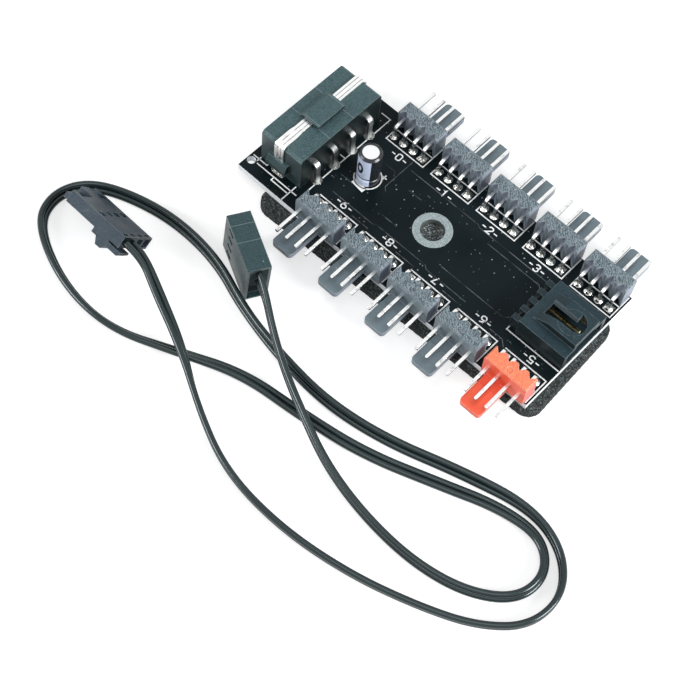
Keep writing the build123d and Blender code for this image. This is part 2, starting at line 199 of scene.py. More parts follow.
def newGroup(name, inputs, outputs):
    group = bpy.data.node_groups.new(name, "ShaderNodeTree")
    for key, value in inputs.items():
        socket = group.interface.new_socket(key, in_out="INPUT", socket_type="NodeSocketFloat")
        socket.default_value = value
    for key in outputs:
        group.interface.new_socket(key, in_out="OUTPUT", socket_type="NodeSocketFloat")
    return group, group.nodes.new("NodeGroupInput"), group.nodes.new("NodeGroupOutput")


def useGroup(tree, group, **values):
    node = tree.nodes.new("ShaderNodeGroup")
    node.node_tree = group
    setInputs(node, values)
    return node


def edgeGroup():
    # painted edge highlight: how far a rounded normal turns away from the flat one, broken up by noise
    group, entry, leave = newGroup("paintedEdgeHighlight", {"Width": 0.1, "Breakup": 0.5}, ["Mask"])
    bevel = addNode(group, "Bevel", samples=4)
    join(group, times(group, entry.outputs["Width"], mm), bevel.inputs["Radius"])
    turn = addNode(group, "VectorMath", operation="DOT_PRODUCT")
    join(group, bevel.outputs["Normal"], turn.inputs[0])
    join(group, addNode(group, "NewGeometry").outputs["Normal"], turn.inputs[1])
    edge = rampNode(group, turn.outputs["Value"], 0.995, 0.80)
    patch = rampNode(group, noiseNode(group, 1.3, 5.0), 0.35, 0.65)
    kept = mathNode(group, "SUBTRACT", 1.0, times(group, entry.outputs["Breakup"], patch))
    join(group, times(group, edge, kept), leave.inputs["Mask"])
    return group


def grainGroup():
    # moulded or sanded skin: fine grain over broad unevenness
    group, entry, leave = newGroup("skinGrain", {"Fine": 6.0, "Broad": 0.35}, ["Height", "Patch"])
    fine = addNode(group, "TexNoise")
    broad = addNode(group, "TexNoise")
    for node, key in ((fine, "Fine"), (broad, "Broad")):
        join(group, objectPoint(group), node.inputs["Vector"])
        join(group, mathNode(group, "DIVIDE", entry.outputs[key], mm), node.inputs["Scale"])
        node.inputs["Detail"].default_value = 4.0
    join(group, mathNode(group, "MULTIPLY_ADD", fine.outputs[0], 0.7), leave.inputs["Height"])
    join(group, broad.outputs[0], leave.inputs["Patch"])
    return group


def dustGroup():
    # pale specks on upward faces: small cells, few of them chosen, each a dot of its own size
    group, entry, leave = newGroup("dustSpecks", {"Cells": 1.1, "Share": 0.2, "Size": 0.2}, ["Mask"])
    cells = addNode(group, "TexVoronoi")
    join(group, objectPoint(group), cells.inputs["Vector"])
    join(group, mathNode(group, "DIVIDE", entry.outputs["Cells"], mm), cells.inputs["Scale"])
    parts = addNode(group, "SeparateColor")
    join(group, cells.outputs["Color"], parts.inputs[0])
    chosen = mathNode(group, "LESS_THAN", parts.outputs[0], entry.outputs["Share"])
    reach = times(group, entry.outputs["Size"], mathNode(group, "POWER", parts.outputs[1], 3.0))
    dot = mathNode(group, "LESS_THAN", cells.outputs["Distance"], reach)
    facing = rampNode(group, normalPart(group, "Z"), 0.5, 0.9)
    join(group, times(group, times(group, chosen, dot), facing), leave.inputs["Mask"])
    return group


def flowGroup():
    # flow marks of filled nylon: noise pulled about by itself with swirled strokes in it, and a painted lighter top: a
    # mask of upward faces above a height in millimetres
    group, entry, leave = newGroup("flowMarksAndLitTop", {"Marks": 0.8, "Strokes": 0.5, "Above": 8.8}, ["Band", "Top"])
    marks = addNode(group, "TexNoise")
    join(group, objectPoint(group), marks.inputs["Vector"])
    join(group, mathNode(group, "DIVIDE", entry.outputs["Marks"], mm), marks.inputs["Scale"])
    setInputs(marks, {"Distortion": 3.5, "Detail": 4.0, "Roughness": 0.6})
    swirl = addNode(group, "TexWave", bands_direction="DIAGONAL")
    join(group, objectPoint(group), swirl.inputs["Vector"])
    join(group, mathNode(group, "DIVIDE", entry.outputs["Marks"], 0.9 * mm), swirl.inputs["Scale"])
    setInputs(swirl, {"Distortion": 16.0, "Detail": 3.0, "Detail Scale": 0.5, "Detail Roughness": 0.5})
    swing = mathNode(group, "SUBTRACT", swirl.outputs["Fac"], 0.5)
    strokes = times(group, times(group, swing, entry.outputs["Strokes"]), 0.4)
    band = mathNode(group, "ADD", marks.outputs[0], strokes)
    height = partOf(group, objectPoint(group), "Z")
    high = mathNode(group, "GREATER_THAN", height, times(group, entry.outputs["Above"], mm))
    top = times(group, high, rampNode(group, normalPart(group, "Z"), 0.3, 0.8))
    join(group, rampNode(group, band, 0.34, 0.66), leave.inputs["Band"])
    join(group, top, leave.inputs["Top"])
    return group


paintedEdgeHighlight, skinGrain, dustSpecks, flowMarksAndLitTop = edgeGroup(), grainGroup(), dustGroup(), flowGroup()


def seamLines(tree, place, heading, offsets, half):
    # thin lines across a part: the way along the heading from a place, in millimetres, against each offset
    forward = np.array([math.cos(math.radians(heading)), math.sin(math.radians(heading))])
    along = wayAlong(tree, (*forward, 0))
    lines = None
    for offset in offsets:
        away = mathNode(tree, "SUBTRACT", along, float(forward @ np.array(place)) + offset)
        line = mathNode(tree, "LESS_THAN", mathNode(tree, "ABSOLUTE", away), half)
        lines = line if lines is None else mathNode(tree, "MAXIMUM", lines, line)
    return lines


def insideShell(tree, place, heading, lean, middle, half, low, high):
    # the inside of a plug that stands and leans: points nearer its middle plane than the shell, between two heights
    turn, slope = math.radians(heading), math.tan(math.radians(lean))
    outward = np.array([-math.sin(turn), math.cos(turn), -slope])
    centre = float(outward[:2] @ np.array(place)) + middle - slope * (low + high) / 2
    away = mathNode(tree, "ABSOLUTE", mathNode(tree, "SUBTRACT", wayAlong(tree, outward), centre))
    level = partOf(tree, objectPoint(tree), "Z")
    above, under = mathNode(tree, "GREATER_THAN", level, low * mm), mathNode(tree, "LESS_THAN", level, high * mm)
    return times(tree, times(tree, above, under), mathNode(tree, "LESS_THAN", away, half))


def newMaterial(name):
    material = bpy.data.materials.new(name)
    material.use_nodes = True
    tree = material.node_tree
    tree.nodes.clear()
    shader = addNode(tree, "BsdfPrincipled")
    join(tree, shader.outputs[0], addNode(tree, "OutputMaterial").inputs["Surface"])
    return material, tree, shader


def addBump(tree, shader, height, depth, rounding=None):
    # depth and rounding in millimetres
    bump = addNode(tree, "Bump")
    bump.inputs["Distance"].default_value = depth * mm
    join(tree, height, bump.inputs["Height"])
    if rounding:
        bevel = addNode(tree, "Bevel", samples=4)
        bevel.inputs["Radius"].default_value = rounding * mm
        join(tree, bevel.outputs["Normal"], bump.inputs["Normal"])
    join(tree, bump.outputs["Normal"], shader.inputs["Normal"])


def mouldedPlastic(name, look):
    # body colour with patchy depth and flow marks, painted light on upward faces, painted light and shade on faces
    # turned to X, mould lines, painted highlights on the edges, dust, a painted shadow inside a mouth, skin grain and
    # soft edges
    material, tree, shader = newMaterial(name)
    grain = useGroup(tree, skinGrain, Fine=look["fine"], Broad=look["broad"])
    edge = useGroup(tree, paintedEdgeHighlight, Width=look["edgeWidth"], Breakup=0.6)
    dust = useGroup(tree, dustSpecks, Cells=look["dustCells"], Share=look["dustShare"], Size=0.16)
    shade, height = grain.outputs["Patch"], grain.outputs["Height"]
    speckle = mathNode(tree, "ADD", times(tree, height, look["speckle"]), times(tree, shade, 1 - look["speckle"]))
    colour = mixColours(tree, rampNode(tree, speckle, 0.3, 0.7), look["colour"], look["patchColour"])
    # painted light and shade: faces turned to X take their own colour, lighter where light falls on them, darker on the
    # supply header's shaded back
    facing = rampNode(tree, mathNode(tree, "ABSOLUTE", normalPart(tree, "X")), 0.45, 0.8)
    colour = mixColours(tree, facing, colour, look["paintedSideLighting"])
    flow = useGroup(tree, flowMarksAndLitTop, Marks=look["flow"], Strokes=look["strokes"], Above=look["flowAbove"])
    band, top = flow.outputs["Band"], flow.outputs["Top"]
    # painted light: upward faces take lighter flow-marked colours than the sides
    colour = mixColours(tree, top, colour, mixColours(tree, band, *look["flowAndLitTopColours"]))
    height = mathNode(tree, "ADD", height, times(tree, band, top))
    if "seams" in look:
        seam = times(tree, seamLines(tree, **look["seams"]), rampNode(tree, normalPart(tree, "Z"), 0.2, 0.6))
        colour = mixColours(tree, times(tree, seam, 0.45), colour, look["edgeColour"])
    # painted highlight: edges take the pale edge colour
    colour = mixColours(tree, times(tree, edge.outputs["Mask"], look["edgeShare"]), colour, look["edgeColour"])
    colour = mixColours(tree, times(tree, dust.outputs["Mask"], 0.7), colour, (0.55, 0.57, 0.58))
    rough = rampNode(tree, shade, 0.25, 0.75, look["rough"] - 0.06, look["rough"] + 0.08)
    if "mouth" in look:
        # painted shade: the inside of the fan plug's open end is coloured near black
        mouthShadeMask = insideShell(tree, **look["mouth"])
        colour = mixColours(tree, mouthShadeMask, colour, (0.002, 0.004, 0.005))
        rough = mathNode(tree, "MAXIMUM", rough, times(tree, mouthShadeMask, 0.9))
    join(tree, colour, shader.inputs["Base Color"])
    join(tree, rough, shader.inputs["Roughness"])
    setInputs(shader, {"Specular IOR Level": look["gloss"], "Specular Tint": (*look["tint"], 1)})
    addBump(tree, shader, height, look["depth"], look["rounding"])
    return material


def tinnedMetal(name, look):
    # plating with drawn streaks and stains; a look may add painted shade on the sides, in the pressed grooves and over
    # the tails
    material, tree, shader = newMaterial(name)
    streak = noiseNode(tree, look["streak"], 4.0, 0.6, look["stretch"])
    stain = rampNode(tree, noiseNode(tree, look["stain"], 4.0), *look["stainRange"])
    colour = mixColours(tree, stain, look["colour"], look["stainColour"])
    # painted shade: faces that don't face up or down take a darker colour
    if "shadedSides" in look:
        flatTop = rampNode(tree, mathNode(tree, "ABSOLUTE", normalPart(tree, "Z")), 0.2, 0.6)
        colour = mixColours(tree, flatTop, look["shadedSides"], colour)
    if "lines" in look:
        # painted shade: a dark line along each pressed groove
        broken = rampNode(tree, noiseNode(tree, 0.7, 3.0), 0.3, 0.5)
        grooveShade = times(tree, seamLines(tree, **look["lines"]), broken)
        colour = mixColours(tree, times(tree, grooveShade, 0.9), colour, (0.09, 0.085, 0.08))
    if "shadedTailsBelow" in look:
        # painted shade: the pins' tails behind the contacts are coloured near black
        behind = mathNode(tree, "LESS_THAN", partOf(tree, objectPoint(tree), "X"), look["shadedTailsBelow"] * mm)
        colour = mixColours(tree, behind, colour, (0.012, 0.014, 0.014))
    join(tree, colour, shader.inputs["Base Color"])
    rough = rampNode(tree, streak, 0.3, 0.7, look["rough"] - 0.08, look["rough"] + 0.12)
    join(tree, rough, shader.inputs["Roughness"])
    shader.inputs["Metallic"].default_value = 1.0
    addBump(tree, shader, streak, look["depth"], look["rounding"])
    return material


# camera, at the photo's viewing angle
cameraSetup = {
    "azimuth": -54.07, "elevation": 62.53, "roll": 7.94,  # degrees
    "place": (85.39, -141.14, 266.23),  # millimetres
    "focal": 1580.7, "frameWidth": 700, "sensor": 36.0,  # pixels, pixels, millimetres
}


def makeCamera(setup):
    azimuth, elevation, roll = (math.radians(setup[key]) for key in ("azimuth", "elevation", "roll"))
    back = Vector((math.cos(elevation) * math.cos(azimuth), math.cos(elevation) * math.sin(azimuth),
                   math.sin(elevation)))
    level = Vector((-math.sin(azimuth), math.cos(azimuth), 0))
    right = level * math.cos(roll) + back.cross(level) * math.sin(roll)
    data = bpy.data.cameras.new("camera")
    data.sensor_width = setup["sensor"]
    data.lens = setup["focal"] / setup["frameWidth"] * setup["sensor"]
    camera = bpy.data.objects.new("camera", data)
    axes = Matrix((right, back.cross(right), back)).transposed().to_4x4()
    camera.matrix_world = Matrix.Translation(Vector(setup["place"]) * mm) @ axes
    bpy.context.scene.collection.objects.link(camera)
    bpy.context.scene.camera = camera


makeCamera(cameraSetup)
print("camera placed")


# light: an even room, a soft lamp above, lower ones on the right and the left, and a floor that whitens outwards
lightSetup = {
    "room": 0.26, "roomColour": (0.98, 0.99, 1.0),
    "lamps": {
        "above": {"place": (0.10, -0.14, 0.60), "size": 0.40, "power": 0.9},
        "right": {"place": (0.58, 0.10, 0.30), "size": 0.26, "power": 4.8},
        "left": {"place": (-0.36, -0.44, 0.26), "size": 0.24, "power": 2.1},
    },
    "floorColour": (0.60, 0.605, 0.61), "floorGlow": 0.60, "floorSize": 4.0, "whiteFrom": 0.30, "whiteAt": 0.90,
}


def seenDirectly(tree):
    # 1 for camera, mirror and see-through rays, 0 for the light that falls on the object
    path = addNode(tree, "LightPath")
    seen = mathNode(tree, "ADD", path.outputs["Is Camera Ray"], path.outputs["Is Glossy Ray"], clamp=True)
    return mathNode(tree, "ADD", seen, path.outputs["Is Transmission Ray"], clamp=True)


def makeLight(setup):
    world = bpy.data.worlds.new("room")
    bpy.context.scene.world = world
    world.use_nodes = True
    tree = world.node_tree
    sky = tree.nodes["Background"]
    sky.inputs["Color"].default_value = (*setup["roomColour"], 1)
    join(tree, rampNode(tree, seenDirectly(tree), 0, 1, setup["room"], 1.0), sky.inputs["Strength"])
    for name, lamp in setup["lamps"].items():
        data = bpy.data.lights.new(name, "AREA")
        data.size, data.energy = lamp["size"], lamp["power"]
        light = bpy.data.objects.new(name, data)
        place = Vector(lamp["place"])
        light.matrix_world = Matrix.Translation(place) @ place.to_track_quat("Z", "Y").to_matrix().to_4x4()
        bpy.context.scene.collection.objects.link(light)


def makeFloor(setup):
    material, tree, shader = newMaterial("paleFloor")
    setInputs(shader, {"Base Color": (*setup["floorColour"], 1), "Roughness": 1.0, "Specular IOR Level": 0.0,
                       "Emission Color": (1, 1, 1, 1)})
    away = addNode(tree, "VectorMath", operation="LENGTH")
    join(tree, objectPoint(tree), away.inputs[0])
    glow = rampNode(tree, away.outputs["Value"], setup["whiteFrom"], setup["whiteAt"], setup["floorGlow"], 1.0)
    join(tree, times(tree, seenDirectly(tree), glow), shader.inputs["Emission Strength"])
    half = setup["floorSize"] / 2
    mesh = bpy.data.meshes.new("floor")
    mesh.from_pydata([(-half, -half, 0), (half, -half, 0), (half, half, 0), (-half, half, 0)], [], [(0, 1, 2, 3)])
    mesh.materials.append(material)
    floor = bpy.data.objects.new("floor", mesh)
    bpy.context.scene.collection.objects.link(floor)


makeLight(lightSetup)
makeFloor(lightSetup)
print("light and floor made")


# control lead: two cores side by side, splitting where they enter the plugs
leadSetup = {
    "coreRadius": 0.63, "coreGap": 1.24, "wayPitch": 2.54, "width": 2.5, "length": 475.0,  # millimetres
    "splitEnds": 7.0, "settle": 20.0, "samples": 1200, "around": 16, "blend": 12, "bends": 16,
    "twist": [  # millimetres along the lead, degrees from lying flat
        (0, 85.4), (12, 88), (40, 80), (60, 78), (90, 65), (100, 30), (112, 5), (145, 0), (165, 25), (190, 65),
        (212, 65), (222, 40), (240, 35), (262, 60), (275, 70), (290, 50), (330, 45), (342, 80), (360, 88), (380, 80),
        (446, 85), (456, 45), (466, 20), (478, 50.8),
    ],
    "route": [
        (-16.20, -33.14, 7.81), (-12.65, -34.98, 7.81), (-7.5, -38.3, 4.9), (-0.5, -42.3, 3.3), (6.8, -45.7, 2.8),
        (17.0, -49.8, 1.1), (28.5, -52.2, 0.7), (41.0, -52.7, 0.7), (51.8, -50.3, 0.7), (59.2, -44.9, 0.7),
        (60.0, -37.7, 0.7), (54.7, -32.8, 0.7), (45.3, -33.8, 0.7), (34.5, -38.0, 0.7), (21.0, -43.1, 0.7),
        (7.5, -45.5, 0.7), (-6.4, -47.2, 0.7), (-18.1, -52.6, 0.7), (-30.9, -58.4, 0.7), (-44.1, -57.9, 0.7),
        (-57.1, -52.5, 0.7), (-60.1, -45.8, 0.7), (-57.5, -39.3, 0.7), (-49.9, -35.2, 0.7), (-39.1, -32.8, 0.7),
        (-27.0, -33.5, 0.7), (-15.7, -37.6, 0.7), (-3.6, -39.8, 0.7), (8.9, -40.7, 0.7), (22.2, -38.5, 0.7),
        (36.5, -33.4, 0.7), (49.7, -30.0, 0.7), (59.0, -32.2, 0.7), (64.6, -38.6, 0.7), (63.9, -47.1, 0.7),
        (57.2, -53.5, 0.7), (47.7, -57.9, 0.7), (34.9, -62.1, 0.7), (20.0, -64.4, 0.7), (5.4, -63.5, 0.7),
        (-6.9, -58.4, 1.5), (-17.7, -52.1, 2.7), (-28.5, -47.7, 4.7), (-35.21, -44.96, 6.74), (-39.21, -44.90, 6.74),
    ],
}


def splinePoints(route, bends, count):
    # the route's points steer a smooth curve, which is read back at even steps along its length
    curve = bpy.data.curves.new("leadLine", "CURVE")
    curve.dimensions = "3D"
    curve.resolution_u = bends
    spline = curve.splines.new("NURBS")
    spline.points.add(len(route) - 1)
    spline.points.foreach_set("co", np.column_stack([np.array(route), np.ones(len(route))]).ravel())
    spline.order_u = 3
    spline.use_endpoint_u = True
    line = bpy.data.objects.new("leadLine", curve)
    mesh = bpy.data.meshes.new_from_object(line)
    points = np.empty(len(mesh.vertices) * 3)
    mesh.vertices.foreach_get("co", points)
    points = points.reshape(-1, 3)
    bpy.data.objects.remove(line)
    bpy.data.curves.remove(curve)
    bpy.data.meshes.remove(mesh)
    reach = np.concatenate([[0], np.cumsum(np.linalg.norm(np.diff(points, axis=0), axis=1))])
    steps = np.linspace(0, reach[-1], count)
    return np.column_stack([np.interp(steps, reach, points[:, i]) for i in range(3)]), steps


def smoothStep(value):
    value = np.clip(value, 0, 1)
    return value * value * (3 - 2 * value)


def leadMesh(setup):
    # a circle is carried along two lines, one on each side of the spline. Their side direction turns with the
    # twist along the lead, and where the pair stands on edge the line is lifted so that it stays on the floor
    line, steps = splinePoints(setup["route"], setup["bends"], setup["samples"])
    total = steps[-1]
    tangent = np.gradient(line, axis=0)
    tangent /= np.linalg.norm(tangent, axis=1, keepdims=True)
    side = np.cross([0.0, 0.0, 1.0], tangent)
    side /= np.linalg.norm(side, axis=1, keepdims=True)
    rise = np.cross(tangent, side)
    places, degrees = np.array(setup["twist"]).T
    twist = np.interp(steps / total * places[-1], places, degrees)
    blend = setup["blend"]
    window = np.hanning(2 * blend + 1)
    twist[blend:-blend] = np.convolve(twist, window / window.sum(), mode="valid")
    twist = np.radians(twist)[:, None]
    across = side * np.cos(twist) + rise * np.sin(twist)
    fromEnds = np.minimum(steps, total - steps)
    half = (setup["coreGap"] + (setup["wayPitch"] - setup["coreGap"])
            * (1 - smoothStep(fromEnds / setup["splitEnds"])))[:, None] / 2
    lift = half * np.abs(np.sin(twist)) * smoothStep(fromEnds / setup["settle"])[:, None]
    line = line + np.array([0, 0, 1]) * lift
    angle = np.linspace(0, 2 * np.pi, setup["around"], endpoint=False)[None, :, None]
    normal = np.cross(tangent, across)
    shapes = []
    for sign in (1, -1):
        centre = line + sign * half * across
        rings = (centre[:, None, :] + setup["coreRadius"] * (np.cos(angle) * across[:, None, :]
                                                             + np.sin(angle) * normal[:, None, :]))
        shapes.append((rings.reshape(-1, 3), tubeFaces(setup["samples"], setup["around"])))
    points, faces = joinShapes(shapes)
    print("lead length", round(float(total), 1))
    return points, faces, line


def vinylJacket():
    # soft black vinyl: fine grain, and duller patches where it was handled
    material, tree, shader = newMaterial("vinylJacket")
    grain = useGroup(tree, skinGrain, Fine=4.0, Broad=0.12)
    patch = rampNode(tree, grain.outputs["Patch"], 0.3, 0.7)
    join(tree, mixColours(tree, patch, (0.009, 0.016, 0.017), (0.014, 0.023, 0.024)), shader.inputs["Base Color"])
    join(tree, rampNode(tree, grain.outputs["Patch"], 0.2, 0.8, 0.15, 0.22), shader.inputs["Roughness"])
    setInputs(shader, {"Specular IOR Level": 0.50, "Specular Tint": (0.85, 0.97, 1.0, 1)})
    addBump(tree, shader, grain.outputs["Height"], 0.012)
    return material


leadPoints, leadFaces, leadLine = leadMesh(leadSetup)
lead = meshPiece("controlLead", leadPoints, leadFaces, vinylJacket(), "cord_jacket")
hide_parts("control_lead")
print("control lead laid")


# foam pad: cut foam under the board, a little askew, with torn cells along its edge
foamSetup = {
    "length": 69.9, "width": 26.8, "thickness": 2.2, "corner": 3.2, "turn": 2.15,
    "edgeRound": 0.25, "ragged": 0.12, "around": 720, "rows": 14,
    "waves": ((97, 9), (151, -14), (233, 23)),  # turns round the edge, and shift up it in radians
}


def roundedOutline(halfLength, halfWidth, corner, count):
    # even steps round a rectangle with round corners: four straight runs and four quarter circles
    quarter = corner * np.pi / 2
    straights = [2 * (halfWidth - corner), 2 * (halfLength - corner)] * 2
    lengths = np.array([part for straight in straights for part in (straight, quarter)])
    ends = np.cumsum(lengths)
    step = np.arange(count) / count * ends[-1]
    part = np.searchsorted(ends, step, side="right")
    along = step - (ends[part] - lengths[part])
    turn = (part // 2) * np.pi / 2
    centreSigns = np.array([(1, -1), (1, 1), (-1, 1), (-1, -1)])
    middles = np.array([halfLength - corner, halfWidth - corner])
    onArc = part % 2 == 1
    arcCentre = middles * centreSigns[(part // 2 + 1) % 4]
    runStart = middles * centreSigns[part // 2]
    angle = turn + np.where(onArc, along / corner, 0)
    outward = np.column_stack([np.cos(angle), np.sin(angle)])
    forward = np.column_stack([-np.sin(turn), np.cos(turn)])
    base = np.where(onArc[:, None], arcCentre, runStart + forward * along[:, None])
    return base, outward


def foamMesh(setup):
    # rings up the cut edge: each stands out from the outline's own centre line by the corner radius, less the
    # rounding at top and bottom and less a ragged depth made of three sines round the edge and up it
    base, outward = roundedOutline(setup["length"] / 2, setup["width"] / 2, setup["corner"], setup["around"])
    up = np.linspace(0, 1, setup["rows"])
    level = up * setup["thickness"]
    fromEdge = np.minimum(level, setup["thickness"] - level) / setup["edgeRound"]
    rounding = setup["edgeRound"] * (1 - np.sqrt(np.clip(1 - (1 - np.clip(fromEdge, 0, 1)) ** 2, 0, 1)))
    turn = np.arange(setup["around"]) / setup["around"] * 2 * np.pi
    wave = sum(np.sin(count * turn[None, :] + shift * up[:, None]) for count, shift in setup["waves"])
    ragged = setup["ragged"] * (wave + len(setup["waves"])) / (2 * len(setup["waves"]))
    reach = setup["corner"] - rounding[:, None] - ragged
    flat = base[None, :, :] + outward[None, :, :] * reach[:, :, None]
    angle = math.radians(setup["turn"])
    x = flat[..., 0] * math.cos(angle) - flat[..., 1] * math.sin(angle)
    y = flat[..., 0] * math.sin(angle) + flat[..., 1] * math.cos(angle)
    low, high = (np.array(corner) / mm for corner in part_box("foam_pad"))
    middle = (low + high) / 2
    points = np.stack([x + middle[0], y + middle[1], np.broadcast_to(level[:, None], x.shape) + low[2]], axis=-1)
    return points.reshape(-1, 3), tubeFaces(setup["rows"], setup["around"])


def nearHole(tree, reach):
    # 1 within a reach of the line through the mounting hole, in millimetres
    flat = addNode(tree, "VectorMath", operation="MULTIPLY_ADD")
    join(tree, objectPoint(tree), flat.inputs[0])
    flat.inputs[1].default_value = (1 / mm, 1 / mm, 0)
    flat.inputs[2].default_value = (-boardMiddle[0], -boardMiddle[1], 0)
    away = addNode(tree, "VectorMath", operation="LENGTH")
    join(tree, flat.outputs["Vector"], away.inputs[0])
    return mathNode(tree, "LESS_THAN", away.outputs["Value"], reach)


def openFoam():
    # black open-cell foam: pits between thin walls, paler torn walls, and painted light where it shows through the
    # mounting hole
    material, tree, shader = newMaterial("openFoam")
    cells = addNode(tree, "TexVoronoi")
    join(tree, objectPoint(tree), cells.inputs["Vector"])
    cells.inputs["Scale"].default_value = 4.6 / mm
    pits = rampNode(tree, cells.outputs["Distance"], 0.15, 0.75)
    torn = rampNode(tree, noiseNode(tree, 3.4, 4.0), 0.40, 0.68)
    walls = times(tree, pits, torn)
    cut = mixColours(tree, walls, (0.022, 0.027, 0.027), (0.18, 0.205, 0.205))
    # painted light: the foam under the mounting hole is made paler to lift it out of the board's shade
    litUnderHole = mixColours(tree, walls, (0.055, 0.068, 0.068), (0.60, 0.66, 0.66))
    join(tree, mixColours(tree, nearHole(tree, 3.2), cut, litUnderHole), shader.inputs["Base Color"])
    setInputs(shader, {"Roughness": 0.95, "Specular IOR Level": 0.25})
    addBump(tree, shader, mathNode(tree, "ADD", pits, torn), 0.12)
    return material


foamPoints, foamFaces = foamMesh(foamSetup)
foam = meshPiece("foamPad", foamPoints, foamFaces, openFoam(), "foam", smooth=False)
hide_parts("foam_pad")
print("foam pad cut")


# board printing: white outlines and plain port numbers, and the low relief of tracks under the mask
printSetup = {
    "line": 0.26, "fine": 0.27, "height": 0.02, "trackWidth": 0.16, "trackHeight": 0.025,
    "headerCentres": [-16.43, -4.38, 7.67, 19.72, 31.77], "boxLeft": -4.65, "boxRight": 5.24,
    "boxInner": 9.6, "boxMiddle": 12.66, "boxOuter": 15.75,
    "labelMiddle": 8.0, "labelHeight": 1.55, "labelShift": 0.3,
    "padRow": 11.14, "padPitch": 2.54, "padSize": 1.85, "padHeight": 0.065,
    "canCentre": (-17.3, 0.05), "canRadius": 2.8, "canArc": (-2.75, 1.75), "canSteps": 40,
    "polarity": [(-18.85, -2.45), (-15.70, -2.85)], "polarityWidth": 1.2,
}
digitGrid = {"high": 6, "advance": 5.6, "gap": 1.6}
digitStrokes = {  # strokes on that grid, four wide and six high
    "0": [[(0, 1), (1, 0), (3, 0), (4, 1), (4, 5), (3, 6), (1, 6), (0, 5), (0, 1)]],
    "1": [[(1, 4.6), (2.2, 6), (2.2, 0)]],
    "2": [[(0, 5), (1, 6), (3, 6), (4, 5), (4, 3.8), (0, 0), (4, 0)]],
    "3": [[(0, 5), (1, 6), (3, 6), (4, 5), (4, 4), (3, 3.1), (1.6, 3.1)],
          [(3, 3.1), (4, 2.2), (4, 1), (3, 0), (1, 0), (0, 1)]],
    "4": [[(3, 0), (3, 6), (0, 2), (4, 2)]],
    "5": [[(4, 6), (0, 6), (0, 3.5), (3, 3.5), (4, 2.6), (4, 1), (3, 0), (1, 0), (0, 1)]],
    "6": [[(3.6, 6), (1.6, 5.4), (0, 3), (0, 1), (1, 0), (3, 0), (4, 1), (4, 2.4), (3, 3.4), (1, 3.4), (0, 2.4)]],
    "7": [[(0, 6), (4, 6), (1.4, 0)]],
    "8": [[(1, 3.2), (0, 4.1), (0, 5.1), (1, 6), (3, 6), (4, 5.1), (4, 4.1), (3, 3.2), (1, 3.2), (0, 2.2), (0, 1),
           (1, 0), (3, 0), (4, 1), (4, 2.2), (3, 3.2)]],
    "9": [[(0.4, 0), (2.4, 0.6), (4, 3), (4, 5), (3, 6), (1, 6), (0, 5), (0, 3.6), (1, 2.6), (3, 2.6), (4, 3.6)]],
    "-": [[(0.4, 3), (3.6, 3)]],
}


def onBoard(points, height=0.0):
    # board lines, in millimetres from the middle of the board, lifted to its top face
    flat = np.asarray(points, float)
    return np.column_stack([flat + boardMiddle[:2], np.full(len(flat), boardTop + height)])


def ribbon(points, width, height):
    # a low flat strip: a rectangle carried along the line
    profile = [(-width / 2, 0), (width / 2, 0), (width / 2, height), (-width / 2, height)]
    return carryProfile(onBoard(points), profile)


def labelStrokes(text, middle, height, turned):
    # plain numbers, written along +X, or turned half round on the near side
    scale, advance = height / digitGrid["high"], digitGrid["advance"]
    start = -(len(text) * advance - digitGrid["gap"]) / 2
    strokes = []
    for index, letter in enumerate(text):
        for stroke in digitStrokes[letter]:
            flat = (np.array(stroke) + [start + index * advance, -digitGrid["high"] / 2]) * scale
            strokes.append((-flat if turned else flat) + middle)
    return strokes


def headerPrint(setup):
    # a three-sided box round each row of pads, a line behind the pads, and the port's number inside
    lines, labels = [], []
    for side in (1, -1):
        for index, centre in enumerate(setup["headerCentres"]):
            left, right = centre + setup["boxLeft"], centre + setup["boxRight"]
            inner, outer = side * setup["boxInner"], side * setup["boxOuter"]
            lines.append([(left, outer), (left, inner), (right, inner), (right, outer)])
            lines.append([(left, side * setup["boxMiddle"]), (right, side * setup["boxMiddle"])])
            port = index if side > 0 else 2 * len(setup["headerCentres"]) - 1 - index
            middle = np.array([centre + setup["labelShift"], side * setup["labelMiddle"]])
            labels += labelStrokes(f"-{port}-", middle, setup["labelHeight"], side < 0)
    return lines, labels


def otherPrint(setup):
    # outlines by the supply header and the control socket, and an arc round the capacitor
    turn = np.linspace(*setup["canArc"], setup["canSteps"])
    arc = np.array(setup["canCentre"]) + setup["canRadius"] * np.column_stack([np.cos(turn), np.sin(turn)])
    return [
        [(-37.0, -12.2), (-33.3, -12.2), (-33.3, -11.6)], [(-35.45, -12.8), (-35.45, -11.6)],
        [(-35.1, -13.2), (-24.3, -13.2)], [(-30.35, -13.2), (-30.35, -14.05), (-26.0, -14.05)],
        [(-25.75, -15.9), (-25.75, -11.7)], [(-24.9, 0.1), (-23.6, 0.1)],
        [(-25.9, 13.5), (-23.5, 13.5), (-23.5, 8.75)], [(-23.5, 6.5), (-23.5, 3.6)], [(-23.5, 1.5), (-23.5, -1.5)],
        [(-23.5, -3.6), (-23.5, -6.5)], [(-23.5, -8.75), (-23.5, -10.4)],
        [(24.5, -4.2), (24.5, -6.35), (37.35, -6.35)], [(24.5, 4.9), (24.5, 6.75), (37.35, 6.75)],
        [(-15.6, 2.3), (-14.3, 2.3)], [(-14.95, 1.65), (-14.95, 2.95)], arc,
    ]


